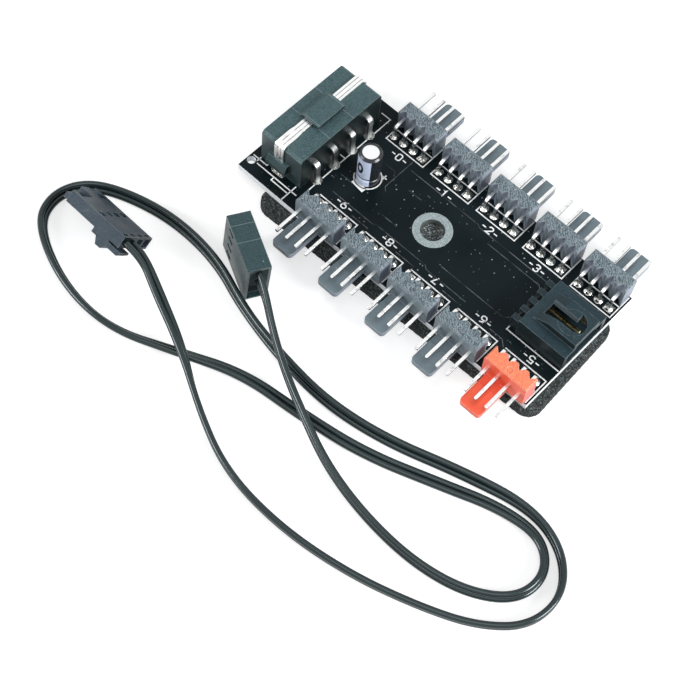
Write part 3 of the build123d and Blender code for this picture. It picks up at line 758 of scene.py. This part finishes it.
def trackLines():
    # tracks that run along both rows of headers and across the middle, just raised under the mask
    return [
        [(-19.9, -7.3), (-9.2, -7.3), (-8.6, -6.9), (4.2, -6.9), (5.0, -7.5), (15.1, -7.5)],
        [(-13.5, -8.75), (-9.2, -8.75)], [(-1.9, -8.75), (2.9, -8.75)], [(10.3, -8.75), (15.1, -8.75)],
        [(22.1, -8.6), (25.3, -8.6), (26.6, -9.8)],
        [(-12.3, 7.4), (5.5, 7.4), (6.1, 7.0), (23.5, 7.0)], [(-13.4, 9.0), (-13.4, 0.9), (-12.6, 0.1)],
        [(-21.6, -3.2), (-18.4, -3.2)], [(-21.6, 4.9), (-14.5, 4.9), (-13.9, 4.3)],
        [(9.5, 5.4), (22.8, 5.4), (24.0, 4.2)], [(6.5, -4.9), (22.4, -4.9), (23.4, -3.9)],
        [(-9.5, 3.6), (-6.2, 3.6)], [(-9.5, -4.4), (-5.6, -4.4)],
    ]


def squarePads(setup):
    # the first pin's pad is square: +X end of the far row, -X end of the near row
    pads = []
    for side in (1, -1):
        for centre in setup["headerCentres"]:
            x, y, half = centre + side * 1.5 * setup["padPitch"], side * setup["padRow"], setup["padSize"] / 2
            pads.append(ribbon([(x - half, y), (x + half, y)], setup["padSize"], setup["padHeight"]))
    return joinShapes(pads)


def whiteInk():
    # screened ink: chalky white, thinner and greyer in places
    material, tree, shader = newMaterial("whiteInk")
    thin = rampNode(tree, noiseNode(tree, 1.6, 4.0), 0.35, 0.7)
    join(tree, mixColours(tree, thin, (0.93, 0.94, 0.94), (0.72, 0.74, 0.75)), shader.inputs["Base Color"])
    join(tree, rampNode(tree, noiseNode(tree, 7.0), 0.3, 0.7, 0.45, 0.7), shader.inputs["Roughness"])
    return material


def solderMask():
    # black mask on the faces, pale glass cut edges with a painted highlight, tin down the mounting hole, fine dust,
    # uneven gloss
    material, tree, shader = newMaterial("solderMask")
    grain = useGroup(tree, skinGrain, Fine=1.5, Broad=0.10)
    dust = useGroup(tree, dustSpecks, Cells=1.5, Share=0.70, Size=0.26)
    lint = useGroup(tree, dustSpecks, Cells=0.40, Share=0.40, Size=0.10)
    edge = mathNode(tree, "LESS_THAN", mathNode(tree, "ABSOLUTE", normalPart(tree, "Z")), 0.5)
    weave = rampNode(tree, noiseNode(tree, 2.5, 2.0, 0.5, (1, 1, 6)), 0.3, 0.7)
    # pale glass of the cut edges: partly its own colour, partly a painted highlight pushed near white
    glassWithHighlight = mixColours(tree, weave, (0.84, 0.88, 0.93), (0.95, 0.97, 0.99))
    glassWithHighlight = mixColours(tree, nearHole(tree, 3.0), glassWithHighlight, (0.09, 0.10, 0.10))
    mask = mixColours(tree, rampNode(tree, grain.outputs["Patch"], 0.3, 0.7), (0.003, 0.0070, 0.0085),
                      (0.006, 0.012, 0.015))
    specks = mathNode(tree, "MAXIMUM", dust.outputs["Mask"], lint.outputs["Mask"])
    faint = rampNode(tree, noiseNode(tree, 0.3, 2.0), 0.35, 0.65, 0.08, 0.60)
    mask = mixColours(tree, times(tree, specks, faint), mask, (0.62, 0.64, 0.65))
    join(tree, mixColours(tree, edge, mask, glassWithHighlight), shader.inputs["Base Color"])
    rough = rampNode(tree, grain.outputs["Patch"], 0.25, 0.75, 0.26, 0.38)
    join(tree, mathNode(tree, "MAXIMUM", rough, times(tree, edge, 0.8)), shader.inputs["Roughness"])
    shader.inputs["Specular IOR Level"].default_value = 0.10
    addBump(tree, shader, grain.outputs["Height"], 0.012)
    return material


def coveredCopper():
    # mask over a track: a shade lighter than the board round it
    material, tree, shader = newMaterial("coveredCopper")
    wander = rampNode(tree, noiseNode(tree, 0.5, 4.0), 0.35, 0.65)
    join(tree, mixColours(tree, wander, (0.010, 0.014, 0.016), (0.120, 0.135, 0.142)), shader.inputs["Base Color"])
    setInputs(shader, {"Roughness": 0.35, "Specular IOR Level": 0.2})
    return material


strapLow, strapHigh = (np.array(corner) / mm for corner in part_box("power_header_strap"))
strapMiddle = (strapLow + strapHigh) / 2
tinLook = {"colour": (0.93, 0.93, 0.92), "stainColour": (0.62, 0.63, 0.62), "stain": 0.9, "stainRange": (0.52, 0.72),
           "shadedSides": (0.40, 0.43, 0.43),
           "rough": 0.24, "streak": 1.5, "stretch": (1, 0.15, 1), "depth": 0.01, "rounding": 0.06}
legLook = tinLook | {"colour": (0.66, 0.68, 0.68), "stainColour": (0.22, 0.22, 0.21), "stainRange": (0.44, 0.60),
                     "rough": 0.40}
strapLook = tinLook | {"colour": (0.97, 0.97, 0.96), "stainColour": (0.86, 0.85, 0.82), "rough": 0.30, "rounding": 0.03,
                       "shadedSides": (0.80, 0.80, 0.78),
                       "lines": {"place": strapMiddle[:2], "heading": 0, "offsets": (-0.40, 0.45), "half": 0.07}}
solderLook = {"colour": (0.86, 0.85, 0.81), "stainColour": (0.16, 0.16, 0.14), "stain": 0.8, "stainRange": (0.50, 0.62),
              "rough": 0.20, "streak": 0.8, "stretch": (1, 1, 1), "depth": 0.04, "rounding": 0.10}
landLook = {"colour": (0.42, 0.49, 0.50), "stainColour": (0.27, 0.33, 0.34), "stain": 4.0, "stainRange": (0.38, 0.62),
            "rough": 0.34, "streak": 3.0, "stretch": (1, 1, 1), "depth": 0.05, "rounding": 0.05}
goldLook = {"colour": (0.95, 0.72, 0.36), "stainColour": (0.70, 0.50, 0.24), "stain": 0.9, "stainRange": (0.52, 0.72),
            "shadedTailsBelow": 27.0, "rough": 0.24, "streak": 1.5, "stretch": (0.15, 1, 1), "depth": 0.01, "rounding": 0.06}
tin, leg, strapTin, solder, land, gold = (tinnedMetal(name, look) for name, look in (
    ("brightTin", tinLook), ("dullTin", legLook), ("strapTin", strapLook), ("solder", solderLook),
    ("tinnedLand", landLook), ("flashGold", goldLook)))

mask, ink = solderMask(), whiteInk()
boxLines, labelLines = headerPrint(printSetup)
inkShapes = [ribbon(line, printSetup["line"], printSetup["height"]) for line in boxLines + otherPrint(printSetup)]
inkShapes += [ribbon(line, printSetup["fine"], printSetup["height"]) for line in labelLines]
inkShapes.append(ribbon(printSetup["polarity"], printSetup["polarityWidth"], printSetup["height"]))
meshPiece("boardPrint", *joinShapes(inkShapes), ink, "board", smooth=False)
trackShapes = [ribbon(line, printSetup["trackWidth"], printSetup["trackHeight"]) for line in trackLines()]
meshPiece("trackRelief", *joinShapes(trackShapes), coveredCopper(), "board", smooth=False)
meshPiece("squarePads", *squarePads(printSetup), solder, "solder", smooth=False)
print("board printed")


# strap: pressed tin with two grooves along it, bent over both ends of the supply header
strapSetup = {"thickness": 0.4, "bend": 0.95, "bendSteps": 14, "flatSteps": 24, "groove": 0.09, "grooveAt": 0.42,
              "grooveHalf": 0.12, "edgeIn": 0.93, "edgeDown": 0.6, "waist": 0.15, "waistAt": 4.0, "waistRun": 1.2}


def strapMesh(setup):
    # the grooved strip's section is carried up one end, over the top and down the other, round two quarter bends,
    # and from a way along the top it is a little narrower
    low, high = strapLow, strapHigh
    half = setup["thickness"] / 2
    x, bend = (low[0] + high[0]) / 2, setup["bend"]
    y0, y1, top = low[1] + half, high[1] - half, high[2] - half
    turn = np.linspace(0, np.pi / 2, setup["bendSteps"])
    first = np.column_stack([y0 + bend - bend * np.cos(turn), top - bend + bend * np.sin(turn)])
    second = np.column_stack([y1 - bend + bend * np.sin(turn), top - bend + bend * np.cos(turn)])
    steps = setup["flatSteps"]
    flat = np.column_stack([np.linspace(y0 + bend, y1 - bend, steps + 2)[1:-1], np.full(steps, top)])
    line = np.vstack([[(y0, low[2])], first, flat, second, [(y1, low[2])]])
    path = np.column_stack([np.full(len(line), x), line])
    wide, at, lip = (high[0] - low[0]) / 2, setup["grooveAt"], setup["grooveHalf"]
    inner, down, deep = wide * setup["edgeIn"], half * setup["edgeDown"], half - setup["groove"]
    profile = [(wide, -half), (-wide, -half), (-wide, down), (-inner, half), (-at - lip, half), (-at, deep),
               (lip - at, half), (at - lip, half), (at, deep), (at + lip, half), (inner, half), (wide, down)]
    onTop = line[:, 1] > top - 0.01
    narrow = setup["waist"] * smoothStep((line[:, 0] - y0 - setup["waistAt"]) / setup["waistRun"]) * onTop
    return carryProfile(path, profile, (1.0, 0.0, 0.0), widths=1 - narrow)


strap = meshPiece("holdDownStrap", *strapMesh(strapSetup), strapTin, "tin_plate", smooth=False)
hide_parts("power_header_strap")
print("strap bent")


# finishes of the parts that keep their CAD shape
greyLook = {"colour": (0.095, 0.132, 0.152), "patchColour": (0.155, 0.200, 0.226), "edgeColour": (0.60, 0.65, 0.70),
            "flowAndLitTopColours": ((0.052, 0.074, 0.086), (0.245, 0.305, 0.340)), "flow": 0.9, "flowAbove": 8.8,
            "paintedSideLighting": (0.235, 0.270, 0.330), "strokes": 0.45,
            "edgeShare": 0.9, "edgeWidth": 0.17, "rough": 0.42, "gloss": 0.45, "tint": (0.9, 0.95, 1.0),
            "fine": 3.2, "broad": 0.5, "depth": 0.06, "rounding": 0.12, "speckle": 0.4,
            "dustCells": 1.2, "dustShare": 0.10}
redLook = greyLook | {"colour": (0.82, 0.085, 0.038), "patchColour": (0.90, 0.130, 0.064),
                      "edgeColour": (0.98, 0.66, 0.56), "flowAndLitTopColours": ((0.84, 0.180, 0.088), (0.97, 0.290, 0.155)),
                      "paintedSideLighting": (0.84, 0.230, 0.200),
                      "rough": 0.40, "tint": (1.0, 1.0, 1.0), "depth": 0.04}
housingLook = {"colour": (0.012, 0.024, 0.027), "patchColour": (0.021, 0.037, 0.041), "edgeColour": (0.32, 0.38, 0.39),
               "paintedSideLighting": (0.003, 0.006, 0.007), "strokes": 0.0,
               "flowAndLitTopColours": ((0.012, 0.033, 0.037), (0.068, 0.122, 0.132)), "flow": 1.5, "flowAbove": 0,
               "edgeShare": 0.8, "edgeWidth": 0.15, "rough": 0.38, "gloss": 0.55, "tint": (0.75, 0.97, 1.0),
               "fine": 5.0, "broad": 0.25, "depth": 0.03, "rounding": 0.08, "speckle": 0.85,
               "dustCells": 1.0, "dustShare": 0.20,
               "seams": {"place": strapMiddle[:2], "heading": 90, "offsets": (-3.4, 3.4), "half": 0.07}}
socketLook = housingLook | {"colour": (0.007, 0.014, 0.017), "patchColour": (0.011, 0.020, 0.023), "rough": 0.34,
                            "flowAndLitTopColours": ((0.007, 0.015, 0.022), (0.017, 0.037, 0.047)), "gloss": 0.36,
                            "edgeColour": (0.30, 0.36, 0.38), "edgeWidth": 0.19, "speckle": 0.5, "depth": 0.02}
socketLook.pop("seams")
latchedLook = socketLook | {"colour": (0.007, 0.017, 0.020), "patchColour": (0.012, 0.025, 0.028), "rough": 0.42,
                            "flowAndLitTopColours": ((0.018, 0.029, 0.043), (0.046, 0.062, 0.080)), "gloss": 0.26,
                            "tint": (0.80, 0.92, 1.0)}
# painted light: the guides are the socket's black nylon made several times lighter, as where light falls into the
# window
litGuideLook = socketLook | {"colour": (0.070, 0.095, 0.108), "patchColour": (0.105, 0.135, 0.150),
                          "paintedSideLighting": (0.085, 0.115, 0.130)}
fanPlugPlace = {"place": (-15.2, -31.2), "heading": -27.3}
fanPlugLook = housingLook | {"colour": (0.013, 0.027, 0.029), "patchColour": (0.022, 0.037, 0.040), "rough": 0.32,
                             "paintedSideLighting": (0.030, 0.045, 0.047),
                             "flowAndLitTopColours": ((0.008, 0.026, 0.030), (0.034, 0.066, 0.074)), "gloss": 0.50,
                             "speckle": 0.7, "depth": 0.02, "dustShare": 0.08,
                             "seams": fanPlugPlace | {"offsets": (-10.4, -6.5), "half": 0.06},
                             "mouth": fanPlugPlace | {"lean": 4.6, "middle": -2.39, "half": 1.85, "low": 0.75,
                                                      "high": 9.75}}
greyNylon, redNylon, housingNylon, socketNylon, latchedNylon, litGuideNylon, fanPlugNylon = (
    mouldedPlastic(name, look) for name, look in (
        ("greyNylon", greyLook), ("redNylon", redLook), ("housingNylon", housingLook), ("socketNylon", socketLook),
        ("latchedNylon", latchedLook), ("litGuideNylon", litGuideLook), ("fanPlugNylon", fanPlugLook)))


# latch window of the control socket: guides along both sides of it that leave a hook at its far end
windowSetup = {"start": 2.4, "end": 7.8, "hook": 8.15, "middle": 0.05, "reach": 2.9, "half": 1.6, "farLiner": 0.30,
               "nearLiner": 0.05, "nearHook": 8.9, "nearTurn": 342, "roof": 5.2, "below": 0.015, "arcSteps": 24,
               "depth": 11.3,
               "corner": ((9.85, -0.75), (9.66, -1.12), (9.30, -1.38))}


def windowGuides(setup):
    # each outline runs along a straight side of the window and back on a circle just outside its round end,
    # and both are carried straight up through the roof
    low, high = (np.array(corner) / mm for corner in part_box("control_socket_body"))
    rear = high[0] - setup["depth"]

    def arc(first, last):
        turn = np.radians(np.linspace(first, last, setup["arcSteps"]))
        return np.column_stack([rear + setup["end"] + setup["reach"] * np.cos(turn),
                                setup["middle"] + setup["reach"] * np.sin(turn)])

    side = math.degrees(math.asin(setup["half"] / setup["reach"]))
    hook = math.degrees(math.acos((setup["hook"] - setup["end"]) / setup["reach"]))
    farSide = setup["middle"] + setup["half"] - setup["farLiner"]
    nearSide = setup["middle"] - setup["half"] + setup["nearLiner"]
    farGuide = np.vstack([[(rear + setup["start"], farSide), (rear + setup["hook"], farSide)], arc(hook, 180 - side),
                          [(rear + setup["start"], farSide + setup["farLiner"])]])
    corner = np.array(setup["corner"]) + (rear, 0)
    start = arc(180 + side, setup["nearTurn"])
    nearGuide = np.vstack([start, corner, [(rear + setup["nearHook"], nearSide), (start[0, 0], nearSide)]])
    shapes = []
    for outline in (farGuide, nearGuide):
        levels = (low[2] + setup["roof"], high[2] - setup["below"])
        points = np.vstack([np.column_stack([outline, np.full(len(outline), level)]) for level in levels])
        shapes.append((points, tubeFaces(len(levels), len(outline))))
    return joinShapes(shapes)


meshPiece("windowGuides", *windowGuides(windowSetup), litGuideNylon, "black_nylon", smooth=False)
print("latch window guided")


def canTop():
    # bare aluminium, faintly turned
    material, tree, shader = newMaterial("bareAluminium")
    rings = noiseNode(tree, 2.0, 3.0)
    join(tree, mixColours(tree, rampNode(tree, rings, 0.3, 0.7), (0.97, 0.97, 0.98), (0.90, 0.91, 0.92)),
         shader.inputs["Base Color"])
    join(tree, rampNode(tree, rings, 0.3, 0.7, 0.28, 0.42), shader.inputs["Roughness"])
    shader.inputs["Metallic"].default_value = 1.0
    addBump(tree, shader, rings, 0.01)
    return material


sleeveSetup = {"stripeMiddle": -100.0, "stripeHalf": 56.0, "markWide": 0.60, "markHigh": 1.15, "markWall": 0.40,
               "markAt": 0.9, "ringAt": -2.0, "ringHalf": 0.14, "shoulderAt": 3.9, "soft": 0.05, "stripeSoft": 0.02,
               "dark": (0.014, 0.018, 0.022), "stripe": (0.60, 0.69, 0.88)}


def canSleeve(setup):
    # shrunk film: dark, with a pale stripe down one side that carries a plain oval polarity mark
    material, tree, shader = newMaterial("canSleeve")
    low, high = (np.array(corner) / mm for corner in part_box("capacitor_sleeve"))
    middle = (low + high) / 2
    radius = (high[0] - low[0]) / 2
    centre = addNode(tree, "Mapping", vector_type="POINT")
    setInputs(centre, {"Location": -middle, "Scale": (1 / mm, 1 / mm, 1 / mm)})
    join(tree, objectPoint(tree), centre.inputs["Vector"])
    turned = addNode(tree, "VectorRotate", rotation_type="Z_AXIS")
    join(tree, centre.outputs["Vector"], turned.inputs["Vector"])
    turned.inputs["Angle"].default_value = -math.radians(setup["stripeMiddle"])
    parts = addNode(tree, "SeparateXYZ")
    join(tree, turned.outputs["Vector"], parts.inputs[0])
    angle = mathNode(tree, "ARCTAN2", parts.outputs["Y"], parts.outputs["X"])
    within, blur = math.radians(setup["stripeHalf"]), setup["stripeSoft"]
    stripe = rampNode(tree, mathNode(tree, "ABSOLUTE", angle), within + blur, within - blur)
    across = mathNode(tree, "DIVIDE", times(tree, angle, radius), setup["markWide"])
    along = mathNode(tree, "DIVIDE", mathNode(tree, "SUBTRACT", parts.outputs["Z"], setup["markAt"]), setup["markHigh"])
    oval = mathNode(tree, "SQRT", mathNode(tree, "ADD", mathNode(tree, "POWER", across, 2.0),
                                           mathNode(tree, "POWER", along, 2.0)))
    wall, ringHalf, shoulderAt, soft = (setup[key] for key in ("markWall", "ringHalf", "shoulderAt", "soft"))
    fromOval = mathNode(tree, "ABSOLUTE", mathNode(tree, "SUBTRACT", oval, 1.0))
    mark = rampNode(tree, fromOval, wall + soft, wall - soft)
    fromRing = mathNode(tree, "ABSOLUTE", mathNode(tree, "SUBTRACT", parts.outputs["Z"], setup["ringAt"]))
    ring = rampNode(tree, fromRing, ringHalf + soft, ringHalf - soft)
    shoulder = rampNode(tree, parts.outputs["Z"], shoulderAt - soft, shoulderAt + soft)
    dark = mathNode(tree, "MAXIMUM", mathNode(tree, "MAXIMUM", mark, ring), shoulder)
    pale = times(tree, stripe, mathNode(tree, "SUBTRACT", 1.0, dark))
    join(tree, mixColours(tree, pale, setup["dark"], setup["stripe"]), shader.inputs["Base Color"])
    join(tree, rampNode(tree, noiseNode(tree, 1.2), 0.3, 0.7, 0.22, 0.36), shader.inputs["Roughness"])
    addBump(tree, shader, noiseNode(tree, 0.8, 2.0), 0.03)
    return material


def blackRubber():
    material, tree, shader = newMaterial("blackRubber")
    grain = useGroup(tree, skinGrain, Fine=4.0, Broad=0.4)
    join(tree, mixColours(tree, grain.outputs["Patch"], (0.010, 0.010, 0.010), (0.020, 0.020, 0.020)),
         shader.inputs["Base Color"])
    shader.inputs["Roughness"].default_value = 0.75
    addBump(tree, shader, grain.outputs["Height"], 0.02)
    return material


finishes = {
    "circuit_board": mask, "plated_ring": land, "solder_joints": solder, "power_header_housing": housingNylon,
    "power_header_pins": leg, "capacitor_can": canTop(), "capacitor_sleeve": canSleeve(sleeveSetup),
    "capacitor_bung": blackRubber(), "capacitor_leads": tin, "control_socket_body": socketNylon,
    "control_socket_pins": gold, "latched_plug_body": latchedNylon, "latched_plug_contacts": tin,
    "fan_plug_body": fanPlugNylon, "fan_plug_contacts": tin,
}
finishes |= {f"fan_header_{port}_body": redNylon if port == 5 else greyNylon for port in range(10)}
finishes |= {f"fan_header_{port}_pins": tin for port in range(10)}
for name, material in finishes.items():
    nodes[name].data.materials.clear()
    nodes[name].data.materials.append(material)
print("finishes given to", len(finishes), "nodes")

scene = bpy.context.scene
scene.view_settings.view_transform = "Standard"
